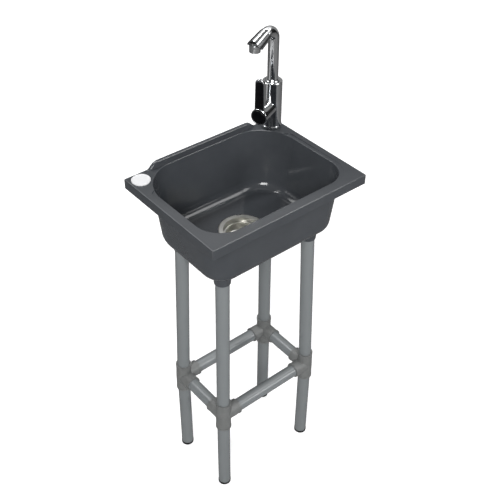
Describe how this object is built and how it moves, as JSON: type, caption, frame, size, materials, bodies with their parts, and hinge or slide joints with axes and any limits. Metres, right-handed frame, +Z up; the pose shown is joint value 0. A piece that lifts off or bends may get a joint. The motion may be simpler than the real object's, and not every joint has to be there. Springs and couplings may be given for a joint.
{
  "type": "utility laundry sink",
  "caption": "Compact laundry sink: moulded dark grey basin with a basket strainer and a chrome side-lever tap, on a stand of grey pipe legs with braces.",
  "frame": {"origin": "on the floor under the middle of the rim", "axes": "+Z up, +X to the user's right, +Y to the back edge with the upstand; the front long side faces -Y"},
  "size_m": [0.42, 0.315, 1.1337],
  "materials": {
    "basin_resin": "moulded dark grey resin, glossy",
    "grey_pipe": "extruded mid grey plastic pipe, satin",
    "grey_fitting": "moulded dark grey plastic, satin",
    "black_rubber": "matt black rubber",
    "white_plastic": "white moulded plastic",
    "dark_plastic": "black moulded plastic",
    "strainer_steel": "pressed stainless steel, polished",
    "black_inlay": "glossy black inlay",
    "turned_brass": "turned brass",
    "plain_steel": "plated steel",
    "tap_chrome": "polished chrome plate"
  },
  "bodies": {
    "sink": {"basin": "basin_resin", "cartridge_nut": "turned_brass", "corner_fitting_back_left": "grey_fitting", "corner_fitting_back_right": "grey_fitting", "corner_fitting_front_left": "grey_fitting", "corner_fitting_front_right": "grey_fitting", "foot_plug_back_left": "black_rubber", "foot_plug_back_right": "black_rubber", "foot_plug_front_left": "black_rubber", "foot_plug_front_right": "black_rubber", "long_brace_back": "grey_pipe", "long_brace_front": "grey_pipe", "lower_leg_back_left": "grey_pipe", "lower_leg_back_right": "grey_pipe", "lower_leg_front_left": "grey_pipe", "lower_leg_front_right": "grey_pipe", "short_brace_left": "grey_pipe", "short_brace_right": "grey_pipe", "spare_hole_cover": "white_plastic", "spare_hole_nut": "dark_plastic", "spout_collar": "tap_chrome", "strainer_body": "strainer_steel", "strainer_locknut": "dark_plastic", "strainer_lower_seal": "black_rubber", "strainer_slip_washer": "dark_plastic", "strainer_top_seal": "black_rubber", "tap_backnut": "turned_brass", "tap_base_gasket": "black_rubber", "tap_body": "tap_chrome", "tap_inlet_shank": "turned_brass", "tap_rubber_washer": "black_rubber", "tap_steel_washer": "plain_steel", "upper_leg_back_left": "grey_pipe", "upper_leg_back_right": "grey_pipe", "upper_leg_front_left": "grey_pipe", "upper_leg_front_right": "grey_pipe", "valve_cartridge": "turned_brass"},
    "spout": {"tap_spout": "tap_chrome", "spout_o_rings": "black_rubber", "spout_head": "tap_chrome", "aerator_shell": "tap_chrome", "aerator_insert": "white_plastic"},
    "handle": {"lever_handle": "tap_chrome", "lever_inlay": "black_inlay", "handle_screw": "plain_steel", "handle_cap": "black_inlay", "valve_spindle": "turned_brass"},
    "basket": {"strainer_basket": "strainer_steel", "basket_knob": "strainer_steel", "basket_stopper": "black_rubber"}
  },
  "joints": [
    {"name": "spout_swivel", "type": "hinge", "parent": "sink", "child": "spout", "pos_m": [0.184, 0.13, 0.996], "axis": [0, 0, 1], "continuous": true},
    {"name": "handle_turn", "type": "hinge", "parent": "sink", "child": "handle", "pos_m": [0.184, 0.13, 0.935], "axis": [-0.9205, -0.3907, 0], "range_deg": [-90, 0]},
    {"name": "basket_lift", "type": "slide", "parent": "sink", "child": "basket", "axis": [0, 0, 1], "range_m": [0, 0.06]}
  ]
}
